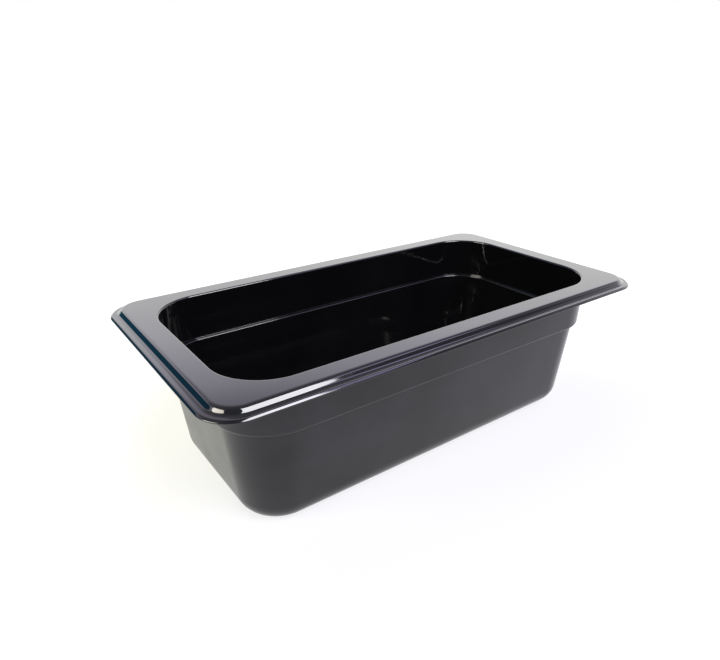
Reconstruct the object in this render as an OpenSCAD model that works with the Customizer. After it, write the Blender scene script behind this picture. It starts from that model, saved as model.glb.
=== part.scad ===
// Deli food pan, third size, 100 mm deep: one injection moulding in black polycarbonate.
// +Z is up, +X runs along the long sides, and the origin is at the centre of the base.

/* [Rim] */
// Length over the lip, along X
rim_l = 325; // [322:1:330]
// Width over the lip, along Y
rim_w = 176; // [174:1:180]
// Corner radius of the lip
lip_corner_r = 20.5; // [18:0.5:26]
// Thickness of the lip that hangs on a well or a rail
lip_t = 1.7; // [1.6:0.1:2.3]
// How far the top of the step is set in from the lip's edge
step_inset = 6.1; // [5.8:0.05:7]
// How much further in the step stands at the two short ends
end_inset = 1.1; // [0:0.1:1.2]
// How far the step's sloping face runs out towards the lip's edge
step_run = 2.1; // [1.9:0.05:2.3]
// Height of the step from the lip up to the top flat
step_h = 3.1; // [3:0.05:3.4]

/* [Opening] */
// Clear length of the opening between the walls, along X
opening_l = 282.4; // [276:0.2:284]
// Clear width of the opening between the walls, along Y
opening_w = 136.6; // [130:0.2:138]
// Corner radius of the opening
opening_r = 32; // [29:0.5:33]
// Rounding of the opening's top edge
edge_r = 1.1; // [0.8:0.1:2.6]

/* [Body] */
// Overall height, from the surface it stands on to the top flat
pan_h = 100; // [90:1:110]
// Thickness of walls, floor and top flat
wall = 3; // [2.6:0.1:3.2]
// Depth of the stacking ledge below the top flat
ledge_depth = 30; // [24:1:36]
// Width of the stacking ledge
ledge_w = 3; // [2:0.25:4]
// Inside radius between the walls and the floor
floor_r = 11; // [8:0.5:12]
// Lean of the wall above the ledge, mm inwards for each mm down
upper_draft = 0.015; // [0.01:0.005:0.03]
// Lean of the wall below the ledge, mm inwards for each mm down
lower_draft = 0.08; // [0.05:0.002:0.09]

/* [Hidden] */

$fn = 96;
arc_steps = 6;

// The opening's corner arcs turn about these points, and so do all the walls below it.
wall_axis_x = opening_l / 2 - opening_r;
wall_axis_y = opening_w / 2 - opening_r;
// The lip's corner arcs turn about these points, and the step's turn end_inset further in along X.
lip_axis_x = rim_l / 2 - lip_corner_r;
step_axis_x = lip_axis_x - end_inset;
lip_axis_y = rim_w / 2 - lip_corner_r;

// Tilt of the step's face from the level, and the roundings above and below it
step_tilt = atan2(step_h, step_run);
step_top_r = 2.5;
step_foot_r = 2.6;
// The lip's outer edge is bevelled at the top and rounded underneath
bevel_run = 1;
bevel_h = 1;
lip_foot_r = 0.3;
// The web that joins the top flat to the lip
web_t = 1.4;

// Heights
flat_under_z = pan_h - wall;
lip_top_z = pan_h - step_h;
lip_under_z = lip_top_z - lip_t;
ledge_z = pan_h - ledge_depth;
shoulder_z = ledge_z - wall;
floor_arc_z = wall + floor_r;

// Distances of the wall's faces from the axis of a corner
upper_in_top_r = opening_r;
upper_in_foot_r = upper_in_top_r - upper_draft * (ledge_depth - edge_r);
lower_in_top_r = upper_in_foot_r - ledge_w;
lower_in_foot_r = lower_in_top_r - lower_draft * (ledge_z - floor_arc_z);
lower_out_foot_r = lower_in_foot_r + wall;
lower_out_top_r = lower_out_foot_r + lower_draft * (shoulder_z - floor_arc_z);
upper_out_top_r = upper_in_top_r + wall;
upper_out_foot_r = upper_out_top_r - upper_draft * (flat_under_z - shoulder_z);
floor_arc_r = lower_in_foot_r - floor_r;
// The wall's section carries a collar of the top flat, and the plate around it overlaps that collar
collar_w = 3;
collar_overlap = 2;
collar_r = upper_out_top_r + collar_w;
plate_hole_r = collar_r - collar_overlap;
// Width of the band of lip and step that runs round outside the plate
rim_band = 16;

// Points along an arc about c, from angle a0 to a1
function arc(c, r, a0, a1) = [
    for (i = [0 : arc_steps])
        let (a = a0 + (a1 - a0) * i / arc_steps)
        c + r * [cos(a), sin(a)]
];

// Section of the tub, as distance from the corner's axis and height
tub_section = concat(
    [[0, 0]],
    arc([floor_arc_r, floor_arc_z], floor_r + wall, -90, 0),
    [[lower_out_top_r, shoulder_z], [upper_out_foot_r, shoulder_z], [upper_out_top_r, flat_under_z]],
    [[collar_r, flat_under_z], [collar_r, pan_h]],
    arc([opening_r + edge_r, pan_h - edge_r], edge_r, 90, 180),
    [[upper_in_foot_r, ledge_z], [lower_in_top_r, ledge_z]],
    arc([floor_arc_r, floor_arc_z], floor_r, 0, -90),
    [[0, wall]]
);

// Radii of the step's section about the axis of its corner
step_top_edge_r = lip_corner_r - step_inset;
step_foot_edge_r = step_top_edge_r + step_run;
top_arc_r = step_top_edge_r - step_top_r * tan(step_tilt / 2);
foot_arc_r = step_foot_edge_r + step_foot_r * tan(step_tilt / 2);
web_in_r = step_top_edge_r - web_t;
// The lip starts inside the step's foot
lip_overlap = 1;

// Section of the step, from the plate at distance start from the axis out to the lip's flat
function step_section(start) = concat(
    [[start, pan_h], [start, flat_under_z], [web_in_r, flat_under_z], [web_in_r, lip_under_z]],
    [[foot_arc_r, lip_under_z]],
    arc([foot_arc_r, lip_top_z + step_foot_r], step_foot_r, -90, -90 - step_tilt),
    arc([top_arc_r, pan_h - step_top_r], step_top_r, 90 - step_tilt, 90)
);

// Section of the lip, from distance start inside the step's foot out to its edge
function lip_section(start) = concat(
    [[start, lip_top_z], [start, lip_under_z]],
    arc([lip_corner_r - lip_foot_r, lip_under_z + lip_foot_r], lip_foot_r, -90, 0),
    [[lip_corner_r, lip_top_z - bevel_h], [lip_corner_r - bevel_run, lip_top_z]]
);

// Four quarter turns of a section about the corner axes at [+-ax, +-ay]
module corners(ax, ay, section) {
    for (turn = [0 : 3]) {
        sx = (turn == 0 || turn == 3) ? 1 : -1;
        sy = (turn < 2) ? 1 : -1;
        translate([sx * ax, sy * ay, 0])
            rotate([0, 0, 90 * turn])
                rotate_extrude(angle = 90)
                    polygon(section);
    }
}

// The same kind of section carried straight along the four sides
module sides(ax, ay, section) {
    for (turn = [0 : 3]) {
        along = (turn % 2 == 0) ? ax : ay;
        across = (turn % 2 == 0) ? ay : ax;
        rotate([0, 0, 90 * turn])
            translate([-along, across, 0])
                rotate([90, 0, 90])
                    linear_extrude(2 * along)
                        polygon(section);
    }
}

// Rectangle with rounded corners that turn about [+-ax, +-ay]
module rounded_plan(ax, ay, r) {
    square([2 * ax, 2 * (ay + r)], center = true);
    square([2 * (ax + r), 2 * ay], center = true);
    for (sx = [-1, 1], sy = [-1, 1])
        translate([sx * ax, sy * ay])
            circle(r);
}

// Walls, ledge and floor
module tub() {
    corners(wall_axis_x, wall_axis_y, tub_section);
    sides(wall_axis_x, wall_axis_y, tub_section);
    translate([-wall_axis_x, -wall_axis_y, 0])
        cube([2 * wall_axis_x, 2 * wall_axis_y, wall]);
}

// Top flat between the opening and the step's section
module top_flat() {
    band_start = lip_corner_r - rim_band;
    translate([0, 0, flat_under_z])
        linear_extrude(wall)
            difference() {
                union() {
                    square([2 * (step_axis_x + band_start), 2 * lip_axis_y], center = true);
                    square([2 * step_axis_x, 2 * (lip_axis_y + band_start)], center = true);
                }
                rounded_plan(wall_axis_x, wall_axis_y, plate_hole_r);
            }
}

// Step and lip around the top flat
module rim() {
    corners(step_axis_x, lip_axis_y, step_section(0));
    sides(step_axis_x, lip_axis_y, step_section(lip_corner_r - rim_band));
    corners(lip_axis_x, lip_axis_y, lip_section(step_foot_edge_r - lip_overlap));
    sides(lip_axis_x, lip_axis_y, lip_section(step_foot_edge_r - lip_overlap));
}

// The whole pan is one moulding
module pan() {
    color([0.02, 0.02, 0.022])
        union() {
            tub();
            top_flat();
            rim();
        }
}

pan();
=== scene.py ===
"""Third-size deli food pan: the polished black polycarbonate moulding, its studio and its camera."""
import math

import bmesh
import bpy
from mathutils import Euler, Matrix, Vector


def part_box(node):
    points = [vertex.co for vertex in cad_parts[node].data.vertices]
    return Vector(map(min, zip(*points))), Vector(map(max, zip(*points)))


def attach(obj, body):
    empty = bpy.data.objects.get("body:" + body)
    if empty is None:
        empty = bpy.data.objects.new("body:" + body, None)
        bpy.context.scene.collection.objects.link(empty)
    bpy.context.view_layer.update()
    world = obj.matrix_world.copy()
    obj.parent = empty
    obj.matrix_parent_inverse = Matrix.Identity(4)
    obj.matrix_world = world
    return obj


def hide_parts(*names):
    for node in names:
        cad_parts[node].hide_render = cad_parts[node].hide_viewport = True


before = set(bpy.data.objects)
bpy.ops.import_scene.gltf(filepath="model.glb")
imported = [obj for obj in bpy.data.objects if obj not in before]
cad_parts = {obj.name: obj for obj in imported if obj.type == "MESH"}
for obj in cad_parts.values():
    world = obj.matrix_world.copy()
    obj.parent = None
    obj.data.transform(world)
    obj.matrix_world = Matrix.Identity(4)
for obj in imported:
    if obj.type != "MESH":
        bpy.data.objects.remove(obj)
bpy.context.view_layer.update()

MM = 0.001

# ---------------------------------------------------------------- sizes of the pan, in millimetres
low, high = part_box("pan")
rim_l = (high[0] - low[0]) / MM
rim_w = (high[1] - low[1]) / MM
pan_h = (high[2] - low[2]) / MM

lip_corner_r = 20.5
lip_t = 1.7
step_inset = 6.1
end_inset = 1.1
step_run = 2.1
step_h = 3.1
bevel_run = 1.0
bevel_h = 1.0
web_t = 1.4
opening_l = 282.4
opening_w = 136.6
opening_r = 32.0
wall = 3.0
ledge_depth = 30.0
ledge_w = 3.0
upper_draft = 0.015
lower_draft = 0.08

# Roundings of the section, from the floor inside round to the base outside
floor_r = 11.0
ledge_edge_r = 0.7
ledge_foot_r = 0.1
opening_edge_r = 1.1
step_top_r = 2.5
step_foot_r = 2.6
bevel_top_r = 0.6
bevel_foot_r = 0.7
lip_foot_r = 0.3
web_foot_r = 0.5
rim_root_r = 1.0
shoulder_edge_r = 1.8
shoulder_root_r = 1.3
base_r = floor_r + wall

# The flat eases down a little over the last stretch before the step
ease_inset = 8.2
ease_drop = 0.05
ease_r = 20.0

# The base stands on a narrow foot, and is lifted clear inside it
foot_w = 5.0
base_lift = 0.5
foot_edge_r = 0.25

# Heights
ledge_z = pan_h - ledge_depth
shoulder_z = ledge_z - wall
flat_under_z = pan_h - wall
lip_top_z = pan_h - step_h
lip_under_z = lip_top_z - lip_t

# Distances outwards from the opening's wall
upper_foot = -upper_draft * ledge_depth
lower_top = upper_foot - ledge_w
lower_foot = lower_top - lower_draft * (ledge_z - wall)
outer_top = lower_top + wall - lower_draft * wall
outer_foot = lower_top + wall - lower_draft * ledge_z
foot_inner = outer_foot - base_r - foot_w
# The flat of the floor starts from a ring with a small corner radius of its own
floor_corner_r = 3.0
floor_start = floor_corner_r - opening_r

# A broad flat gets a ring this far from its rounding, above and below the rim
top_hold = 2.0
under_hold = 3.0


# ---------------------------------------------------------------- small helpers
def linear(hex_colour):
    """A #rrggbb sRGB colour as linear RGBA."""
    parts = [int(hex_colour[i : i + 2], 16) / 255 for i in (1, 3, 5)]
    return [c / 12.92 if c <= 0.04045 else ((c + 0.055) / 1.055) ** 2.4 for c in parts] + [1.0]


def dimmed(hex_colour, level):
    """A share of an sRGB colour, as linear RGBA."""
    return [channel * level for channel in linear(hex_colour)[:3]] + [1.0]


def add(tree, kind, feeds=None, **settings):
    """Adds a node, sets its settings, and feeds its inputs from sockets or plain values."""
    node = tree.nodes.new(kind)
    for name, value in settings.items():
        setattr(node, name, value)
    for key, value in (feeds or {}).items():
        if isinstance(value, bpy.types.NodeSocket):
            tree.links.new(value, node.inputs[key])
        else:
            node.inputs[key].default_value = value
    return node


def math_node(tree, operation, a, b=0.0, c=0.0):
    """The result of a sum on sockets or plain values."""
    return add(tree, "ShaderNodeMath", {0: a, 1: b, 2: c}, operation=operation).outputs[0]


def fade(tree, value, start, end, low_value=0.0, high_value=1.0, kind="SMOOTHSTEP"):
    """Takes a value from start to end over to the range low_value to high_value."""
    ends = {"From Min": start, "From Max": end, "To Min": low_value, "To Max": high_value}
    return add(tree, "ShaderNodeMapRange", {"Value": value, **ends}, interpolation_type=kind).outputs[0]


def mix(tree, factor, first, second):
    """Blends two colours."""
    feeds = {"Factor": factor, "A": first, "B": second}
    return add(tree, "ShaderNodeMix", feeds, data_type="RGBA").outputs["Result"]


def towards(bearing, elevation=0.0):
    """The direction at a bearing, in degrees from +X towards +Y, and an elevation."""
    b, e = math.radians(bearing), math.radians(elevation)
    return Vector((math.cos(b) * math.cos(e), math.sin(b) * math.cos(e), math.sin(e)))


def link_object(obj):
    bpy.context.scene.collection.objects.link(obj)
    return obj


# ---------------------------------------------------------------- the section of the moulding
# Every point of the section is a ring round the pan: half length, half width, corner radius, height and zone.
POLISHED, SATIN, UNDERSIDE = 0, 1, 2


def wall_ring(offset, z, zone):
    """A ring parallel to the opening, offset outwards from the opening's wall."""
    return (opening_l / 2 + offset, opening_w / 2 + offset, opening_r + offset, z, zone)


def lip_ring(inset, z, zone):
    """A ring parallel to the lip's edge, set in from it.

    The step stands a little further in at the short ends."""
    extra = end_inset * min(1, inset / (step_inset - step_run))
    return (rim_l / 2 - inset - extra, rim_w / 2 - inset, lip_corner_r - inset, z, zone)


def rounded_path(corners, steps=7, hold=0.35):
    """A line through (x, z, radius) corners with each corner rounded, as a list of (x, z).

    Each straight stretch is held flat by a point a short way in from both of its ends."""
    points = [Vector(corners[0][:2])]
    for before, here, after in zip(corners, corners[1:], corners[2:]):
        corner = Vector(here[:2])
        radius = here[2]
        to_before = (Vector(before[:2]) - corner).normalized()
        to_after = (Vector(after[:2]) - corner).normalized()
        half = to_before.angle(to_after) / 2
        reach = radius / math.tan(half)
        centre = corner + (to_before + to_after).normalized() * radius / math.sin(half)
        start = corner + to_before * reach
        end = corner + to_after * reach
        if (start - points[-1]).length > 3 * hold:
            points.append(points[-1] + (start - points[-1]).normalized() * hold)
            points.append(start - (start - points[-1]).normalized() * hold)
        first = (start - centre).normalized()
        sweep = first.angle_signed((end - centre).normalized())
        for step in range(steps + 1):
            turn = Matrix.Rotation(-sweep * step / steps, 2)
            points.append(centre + turn @ first * radius)
    final = Vector(corners[-1][:2])
    if (final - points[-1]).length > 3 * hold:
        points.append(points[-1] + (final - points[-1]).normalized() * hold)
    points.append(final)
    return points


def inside_path():
    """From the floor inside, up the walls and over the ledge to the top flat, as offsets from the opening."""
    return rounded_path(
        [
            (floor_start, wall, 0),
            (lower_foot, wall, floor_r),
            (lower_top, ledge_z, ledge_edge_r),
            (upper_foot, ledge_z, ledge_foot_r),
            (0, pan_h, opening_edge_r),
            (opening_edge_r + top_hold, pan_h, 0),
        ]
    )


def rim_path():
    """From the top flat down the step, round the lip and back up its web, as insets from the lip's edge."""
    ease_end = step_inset - step_run * ease_drop / step_h
    web_inset = step_inset + web_t
    return rounded_path(
        [
            (ease_inset + top_hold, pan_h, 0),
            (ease_inset, pan_h, ease_r),
            (ease_end, pan_h - ease_drop, step_top_r),
            (step_inset - step_run, lip_top_z, step_foot_r),
            (bevel_run, lip_top_z, bevel_top_r),
            (0, lip_top_z - bevel_h, bevel_foot_r),
            (0, lip_under_z, lip_foot_r),
            (web_inset, lip_under_z, web_foot_r),
            (web_inset, flat_under_z, web_foot_r),
            (web_inset + under_hold, flat_under_z, 0),
        ]
    )


def outside_path():
    """From under the top flat, down the walls and round the foot to the base, as offsets from the opening."""
    return rounded_path(
        [
            (wall + rim_root_r + under_hold, flat_under_z, 0),
            (wall, flat_under_z, rim_root_r),
            (upper_foot + wall, shoulder_z, shoulder_edge_r),
            (outer_top, shoulder_z, shoulder_root_r),
            (outer_foot, 0, base_r),
            (foot_inner, 0, foot_edge_r),
            (foot_inner - base_lift, base_lift, foot_edge_r),
            (floor_start, base_lift, 0),
        ]
    )


def rim_zone(z):
    """The rim is polished down to the rounding under its lip."""
    return POLISHED if z > lip_under_z + lip_foot_r else SATIN


def outside_zone(x, z):
    """The outside is satin, and inside the foot the base is spark-textured."""
    hair = 0.005
    is_underneath = z < base_lift + hair and x < outer_foot - base_r
    return UNDERSIDE if is_underneath else SATIN


def section_rings():
    """The whole section, from the middle of the floor inside to the middle of the base underneath."""
    rings = [wall_ring(x, z, POLISHED) for x, z in inside_path()]
    rings += [lip_ring(x, z, rim_zone(z)) for x, z in rim_path()]
    rings += [wall_ring(x, z, outside_zone(x, z)) for x, z in outside_path()]
    # The floor and the base close on a line along the middle of the pan.
    spine = (opening_l - opening_w) / 2
    return [(spine, 0, 0, wall, POLISHED)] + rings + [(spine, 0, 0, base_lift, UNDERSIDE)]


def section_mesh(rings):
    """A line of points that carry the rings' sizes, in metres."""
    mesh = bpy.data.meshes.new("pan section")
    places = [(0, 0, i * MM) for i in range(len(rings))]
    mesh.from_pydata(places, [(i, i + 1) for i in range(len(rings) - 1)], [])
    columns = list(zip(*rings))
    for name, column in zip(("half_length", "half_width", "corner_radius", "height"), columns):
        mesh.attributes.new(name, "FLOAT", "POINT").data.foreach_set("value", [v * MM for v in column])
    mesh.attributes.new("zone", "FLOAT", "POINT").data.foreach_set("value", [float(v) for v in columns[4]])
    return mesh


# ---------------------------------------------------------------- the sweep, in Geometry Nodes
def sweep_interface(tree):
    """Names the tree's inputs and its output, and returns the inputs' sockets."""
    kinds = {
        "Section": "NodeSocketGeometry",
        "Corner Steps": "NodeSocketInt",
        "Side Steps": "NodeSocketInt",
        "Weld Distance": "NodeSocketFloat",
    }
    for name, kind in kinds.items():
        tree.interface.new_socket(name, in_out="INPUT", socket_type=kind)
    tree.interface.new_socket("Skin", in_out="OUTPUT", socket_type="NodeSocketGeometry")
    return add(tree, "NodeGroupInput").outputs


def grid_of_rings(tree, section, around):
    """A grid with a row for each ring; returns it with each point's step round the pan and its ring."""
    ring_count = add(tree, "GeometryNodeAttributeDomainSize", {"Geometry": section}).outputs["Point Count"]
    rows = math_node(tree, "SUBTRACT", ring_count, 1)
    feeds = {
        "Size X": around,
        "Size Y": rows,
        "Vertices X": math_node(tree, "ADD", around, 1),
        "Vertices Y": ring_count,
    }
    grid = add(tree, "GeometryNodeMeshGrid", feeds).outputs["Mesh"]
    position = add(tree, "GeometryNodeInputPosition").outputs[0]
    place = add(tree, "ShaderNodeSeparateXYZ", {0: position}).outputs
    step = math_node(tree, "ROUND", math_node(tree, "MULTIPLY_ADD", around, 0.5, place["X"]))
    ring = math_node(tree, "ROUND", math_node(tree, "MULTIPLY_ADD", rows, 0.5, place["Y"]))
    return grid, step, ring


def ring_value(tree, section, ring, name):
    """Reads one of the section's values at a ring."""
    named = add(tree, "GeometryNodeInputNamedAttribute", {"Name": name}, data_type="FLOAT")
    feeds = {"Geometry": section, "Value": named.outputs["Attribute"], "Index": ring}
    return add(tree, "GeometryNodeSampleIndex", feeds, data_type="FLOAT").outputs["Value"]


def corner_sign(tree, turns, phase):
    """+1 or -1: the sign of a corner's x or y after so many quarter turns from the first corner."""
    heading = math_node(tree, "MULTIPLY_ADD", turns, math.pi / 2, math.pi / 4)
    return math_node(tree, "SIGN", math_node(tree, phase, heading))


def corner_centre(tree, half, radius, side, carried, phase):
    """The corner's axis in x or y, carried along the side towards the next corner."""
    inner = math_node(tree, "SUBTRACT", half, radius)
    here = corner_sign(tree, side, phase)
    there = corner_sign(tree, math_node(tree, "ADD", side, 1), phase)
    way = math_node(tree, "SUBTRACT", there, here)
    return math_node(tree, "MULTIPLY", inner, math_node(tree, "MULTIPLY_ADD", way, carried, here))


def point_on_ring(tree, given, quarter, step, ring):
    """The place of a step round a ring: first round the corner, then along the side after it."""
    section = given["Section"]
    radius = ring_value(tree, section, ring, "corner_radius")
    side = math_node(tree, "FLOOR", math_node(tree, "DIVIDE", step, quarter))
    along = math_node(tree, "SUBTRACT", step, math_node(tree, "MULTIPLY", side, quarter))
    turned = math_node(tree, "MINIMUM", math_node(tree, "DIVIDE", along, given["Corner Steps"]), 1)
    angle = math_node(tree, "MULTIPLY", math_node(tree, "ADD", side, turned), math.pi / 2)
    past = math_node(tree, "SUBTRACT", along, given["Corner Steps"])
    carried = math_node(tree, "MAXIMUM", math_node(tree, "DIVIDE", past, given["Side Steps"]), 0)
    feeds = {"Z": ring_value(tree, section, ring, "height")}
    for axis, name, phase in (("X", "half_length", "COSINE"), ("Y", "half_width", "SINE")):
        half = ring_value(tree, section, ring, name)
        centre = corner_centre(tree, half, radius, side, carried, phase)
        feeds[axis] = math_node(tree, "MULTIPLY_ADD", radius, math_node(tree, phase, angle), centre)
    return add(tree, "ShaderNodeCombineXYZ", feeds).outputs[0]


def finish_zones(tree, skin, materials):
    """Gives each zone of the skin its own finish."""
    named = add(tree, "GeometryNodeInputNamedAttribute", {"Name": "zone"}, data_type="FLOAT")
    zone = named.outputs["Attribute"]
    for number, material in enumerate(materials):
        chosen = math_node(tree, "COMPARE", zone, number, 0.5)
        feeds = {"Geometry": skin, "Selection": chosen, "Material": material}
        skin = add(tree, "GeometryNodeSetMaterial", feeds).outputs[0]
    return skin


def sweep_tree(materials):
    """Sweeps a section whose points carry a rounded rectangle each into one closed skin."""
    tree = bpy.data.node_groups.new("pan sweep", "GeometryNodeTree")
    given = sweep_interface(tree)
    quarter = math_node(tree, "ADD", given["Corner Steps"], given["Side Steps"])
    around = math_node(tree, "MULTIPLY", quarter, 4)
    grid, step, ring = grid_of_rings(tree, given["Section"], around)
    point = point_on_ring(tree, given, quarter, step, ring)
    # The zone is kept on the skin before it is moved, because it is read from the grid's own place.
    feeds = {"Geometry": grid, "Name": "zone", "Value": ring_value(tree, given["Section"], ring, "zone")}
    stored = add(tree, "GeometryNodeStoreNamedAttribute", feeds, data_type="FLOAT", domain="POINT")
    placed = add(tree, "GeometryNodeSetPosition", {"Geometry": stored.outputs["Geometry"], "Position": point})
    feeds = {"Geometry": placed.outputs[0], "Distance": given["Weld Distance"]}
    welded = add(tree, "GeometryNodeMergeByDistance", feeds).outputs[0]
    smooth = add(tree, "GeometryNodeSetShadeSmooth", {0: welded}).outputs[0]
    skin = add(tree, "GeometryNodeRealizeInstances", {0: smooth}).outputs[0]
    add(tree, "NodeGroupOutput", {"Skin": finish_zones(tree, skin, materials)})
    return tree


def outward_faces(mesh):
    """Turns the closed skin's faces outwards."""
    work = bmesh.new()
    work.from_mesh(mesh)
    bmesh.ops.dissolve_degenerate(work, dist=0.001 * MM, edges=work.edges)
    bmesh.ops.recalc_face_normals(work, faces=work.faces)
    if work.calc_volume(signed=True) < 0:
        bmesh.ops.reverse_faces(work, faces=work.faces)
    work.to_mesh(mesh)
    work.free()


def make_pan(materials):
    """Builds the moulding as one plain mesh at the origin."""
    swept = link_object(bpy.data.objects.new("pan sweep", section_mesh(section_rings())))
    tree = sweep_tree(materials)
    modifier = swept.modifiers.new("sweep", "NODES")
    modifier.node_group = tree
    sizes = {"Corner Steps": 24, "Side Steps": 20, "Weld Distance": 0.01 * MM}
    for socket in tree.interface.items_tree:
        if socket.name in sizes:
            modifier[socket.identifier] = sizes[socket.name]
    evaluated = swept.evaluated_get(bpy.context.evaluated_depsgraph_get())
    result = bpy.data.meshes.new_from_object(evaluated)
    bpy.data.objects.remove(swept)
    result.name = "pan_moulding"
    outward_faces(result)
    return link_object(bpy.data.objects.new("pan_moulding", result))


# ---------------------------------------------------------------- materials
def noise(tree, place, across, detail, roughness=0.5):
    """Noise whose patches are so many millimetres across."""
    feeds = {"Vector": place, "Scale": 1 / (across * MM), "Detail": detail, "Roughness": roughness}
    return add(tree, "ShaderNodeTexNoise", feeds).outputs[0]


def polycarbonate(name, tints, roughness, peel, shine):
    """Black injection-moulded polycarbonate; the mould's own finish sets how sharp its reflections are."""
    material = bpy.data.materials.new(name)
    material.use_nodes = True
    tree = material.node_tree
    shader = tree.nodes["Principled BSDF"]
    shader.inputs["IOR"].default_value = 1.586
    shader.inputs["Specular IOR Level"].default_value = shine
    place = add(tree, "ShaderNodeTexCoord").outputs["Object"]

    # Faint flow clouds, left where the melt cooled
    clouds = noise(tree, place, across=60, detail=5.0, roughness=0.6)
    cloud = fade(tree, clouds, 0.35, 0.65, kind="LINEAR")
    tree.links.new(mix(tree, cloud, linear(tints[0]), linear(tints[1])), shader.inputs["Base Color"])

    # Handling haze, which dulls the finish in soft patches
    haze = noise(tree, place, across=18, detail=6.0, roughness=0.6)
    rough = fade(tree, haze, 0.35, 0.70, roughness[0], roughness[1], kind="LINEAR")
    tree.links.new(rough, shader.inputs["Roughness"])

    # Orange peel from the mould steel
    waves = noise(tree, place, across=2.5, detail=2.0)
    bump = add(tree, "ShaderNodeBump", {"Height": waves, "Strength": 1.0, "Distance": peel * MM})
    tree.links.new(bump.outputs["Normal"], shader.inputs["Normal"])
    return material


def polished_polycarbonate():
    """Moulded against polished steel: deep black, with the studio mirrored almost sharply in it."""
    name = "polished moulded polycarbonate"
    return polycarbonate(name, ("#050506", "#080809"), (0.05, 0.09), peel=0.0008, shine=0.5)


def satin_polycarbonate():
    """Moulded against stoned steel: reflections smear into a soft grey sheen with faint clouds."""
    name = "satin moulded polycarbonate"
    return polycarbonate(name, ("#040405", "#17171a"), (0.16, 0.24), peel=0.0012, shine=0.36)


def spark_textured_polycarbonate():
    """Moulded against spark-eroded steel under the base: a fine even matt that hides scuffs."""
    name = "spark-textured polycarbonate"
    return polycarbonate(name, ("#0b0b0c", "#101012"), (0.42, 0.55), peel=0.01, shine=0.5)


# ---------------------------------------------------------------- studio, in metres
def opal_acrylic():
    """Opal acrylic lit from below: a white glow with painted shade, turned down near the pan and in front of
    it, under the soft contact shadow that the lamps cast.
    """
    material = bpy.data.materials.new("opal acrylic")
    material.use_nodes = True
    tree = material.node_tree
    shader = tree.nodes["Principled BSDF"]
    shader.inputs["Base Color"].default_value = linear("#686868")
    shader.inputs["Roughness"].default_value = 0.9
    shader.inputs["Specular IOR Level"].default_value = 0.0
    place = add(tree, "ShaderNodeTexCoord").outputs["Object"]
    from_pan = add(tree, "ShaderNodeVectorMath", {0: place}, operation="LENGTH").outputs["Value"]
    across = add(tree, "ShaderNodeSeparateXYZ", {0: place}).outputs["Y"]

    # The glow carries painted light and shade: it is turned down close to the pan all round as a painted
    # contact shade, bluish and dimmer in front of the pan as painted shade on that side, stronger and white
    # behind it, and turned down further and warm close behind it.
    behind = fade(tree, across, -0.12, 0.10)
    close = fade(tree, from_pan, 0.16, 0.24, 1.0, 0.0)
    painted_shade_close_behind = math_node(tree, "MULTIPLY", behind, close)
    # Painted contact shade: the glow rises from 0.78 next to the pan to 0.92 beyond 0.45 m.
    glow_with_painted_shade_near_pan = fade(tree, from_pan, 0.15, 0.45, 0.78, 0.92)
    back_glow = math_node(tree, "MULTIPLY_ADD", behind, 0.22, glow_with_painted_shade_near_pan)
    # Painted shade close behind the pan: the glow is turned down by 0.16 there.
    glow = math_node(tree, "MULTIPLY_ADD", painted_shade_close_behind, -0.16, back_glow)
    plain = mix(tree, behind, linear("#f7f7ff"), linear("#ffffff"))
    hue = mix(tree, painted_shade_close_behind, plain, linear("#fffff3"))
    tree.links.new(hue, shader.inputs["Emission Color"])
    tree.links.new(glow, shader.inputs["Emission Strength"])
    return material


def make_light_table():
    """A table so wide that its edge is lost in the backdrop."""
    half = 30.0
    mesh = bpy.data.meshes.new("light_table")
    corners = [(-half, -half, 0), (half, -half, 0), (half, half, 0), (-half, half, 0)]
    mesh.from_pydata(corners, [], [(0, 1, 2, 3)])
    mesh.materials.append(opal_acrylic())
    link_object(bpy.data.objects.new("light_table", mesh))


def make_panel_light(name, bearing, elevation, width, height, radiance, colour):
    """A soft light panel that faces the pan's rim. Bearing is in degrees from +X towards +Y."""
    distance = 1.4
    rim_height = 0.09
    light = bpy.data.lights.new(name, "AREA")
    light.shape = "RECTANGLE"
    light.size = width
    light.size_y = height
    light.energy = radiance * math.pi * width * height
    light.color = linear(colour)[:3]
    panel = link_object(bpy.data.objects.new(name, light))
    away = towards(bearing, elevation)
    panel.location = away * distance + Vector((0, 0, rim_height))
    panel.rotation_euler = away.to_track_quat("Z", "Y").to_euler()
    panel.visible_camera = False


def sky_by_height(tree, way):
    """The colour of the surroundings by height: a bright backdrop low down, dim overhead."""
    # Height of the direction, then the colour and the level there
    levels = [
        (0.00, "#ffffff", 0.95),
        (0.27, "#ffffff", 0.97),
        (0.32, "#fdfdff", 1.01),
        (0.39, "#f8f7ff", 1.07),
        (0.466, "#f1edff", 0.92),
        (0.512, "#f1ecff", 0.52),
        (0.62, "#eceeff", 0.30),
        (1.00, "#eef0ff", 0.24),
    ]
    height = add(tree, "ShaderNodeSeparateXYZ", {0: way}).outputs["Z"]
    rise = add(tree, "ShaderNodeValToRGB", {0: height})
    elements = rise.color_ramp.elements
    while len(elements) < len(levels):
        elements.new(0.5)
    for element, (where, hex_colour, level) in zip(elements, levels):
        element.position = where
        element.color = dimmed(hex_colour, level)
    return rise.outputs[0]


def facing(tree, way, bearing, narrow, wide):
    """1 towards a bearing and 0 away from it; narrow and wide are cosines of the angle from it."""
    turned = add(tree, "ShaderNodeVectorMath", {0: way, 1: towards(bearing)}, operation="DOT_PRODUCT")
    return fade(tree, turned.outputs["Value"], wide, narrow)


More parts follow.
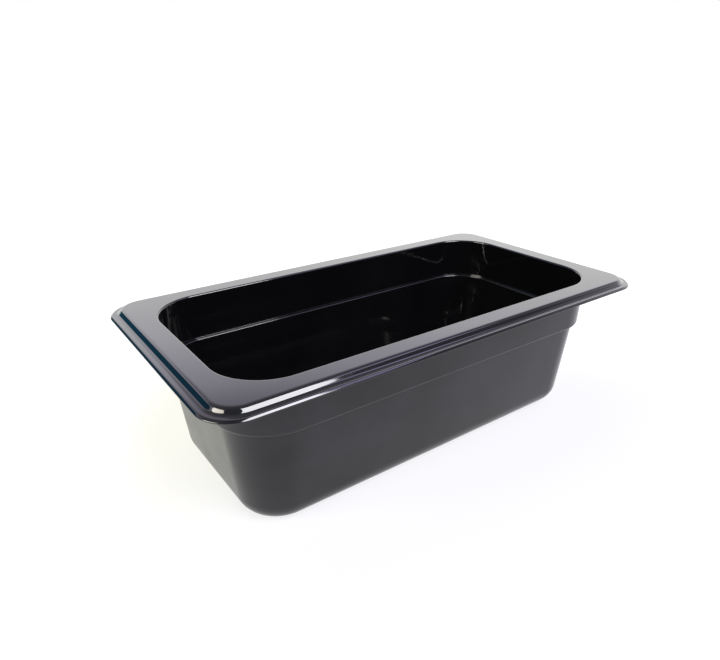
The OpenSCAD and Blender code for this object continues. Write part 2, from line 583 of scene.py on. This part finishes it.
def make_world():
    """White surroundings with a dim side at the front and a dark blue gap left of the backdrop."""
    strength = 2.1
    world = bpy.data.worlds.new("studio")
    world.use_nodes = True
    tree = world.node_tree
    tree.nodes.clear()
    way = add(tree, "ShaderNodeTexCoord").outputs["Generated"]
    lit = sky_by_height(tree, way)
    lit = mix(tree, facing(tree, way, 258, narrow=0.35, wide=0.10), lit, dimmed("#e8ecff", 0.16))
    lit = mix(tree, facing(tree, way, 128, narrow=0.92, wide=0.85), lit, dimmed("#2c8ab8", 0.32))
    bright = add(tree, "ShaderNodeBackground", {"Color": lit, "Strength": strength}).outputs[0]
    # The camera itself sees plain white past the table's edge.
    plain = add(tree, "ShaderNodeBackground", {"Color": linear("#ffffff"), "Strength": 1.0}).outputs[0]
    seen = add(tree, "ShaderNodeLightPath").outputs["Is Camera Ray"]
    shown = add(tree, "ShaderNodeMixShader", {0: seen, 1: bright, 2: plain}).outputs[0]
    add(tree, "ShaderNodeOutputWorld", {"Surface": shown})
    bpy.context.scene.world = world


def make_camera():
    """A wide lens above the near left corner. Heading is from +Y towards +X, and tilt is downwards."""
    heading, tilt, roll = math.radians(35.94), math.radians(29.71), math.radians(-0.20)
    camera = bpy.data.cameras.new("camera")
    camera.sensor_width = 36.0
    camera.lens = 28.32
    camera.shift_x = -0.0097
    camera.shift_y = 0.0833
    camera.clip_start = 0.01
    holder = link_object(bpy.data.objects.new("camera", camera))
    holder.location = (-0.2260, -0.2891, 0.2316)
    aim = Euler((math.pi / 2 - tilt, 0, -heading)).to_matrix() @ Matrix.Rotation(roll, 3, "Z")
    holder.rotation_euler = aim.to_euler()
    bpy.context.scene.camera = holder


# ---------------------------------------------------------------- build
make_camera()
make_light_table()
make_world()
make_panel_light("side_panel", 179, 25, width=0.80, height=0.62, radiance=12, colour="#fff8ea")
make_panel_light("front_panel", 278, 42, width=0.86, height=0.76, radiance=16, colour="#fbfbff")
make_panel_light("upper_panel", 318, 50, width=0.80, height=0.40, radiance=3, colour="#d8ccff")

pan = make_pan([polished_polycarbonate(), satin_polycarbonate(), spark_textured_polycarbonate()])
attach(pan, "root")
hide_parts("pan")

bpy.context.scene.view_settings.view_transform = "Standard"
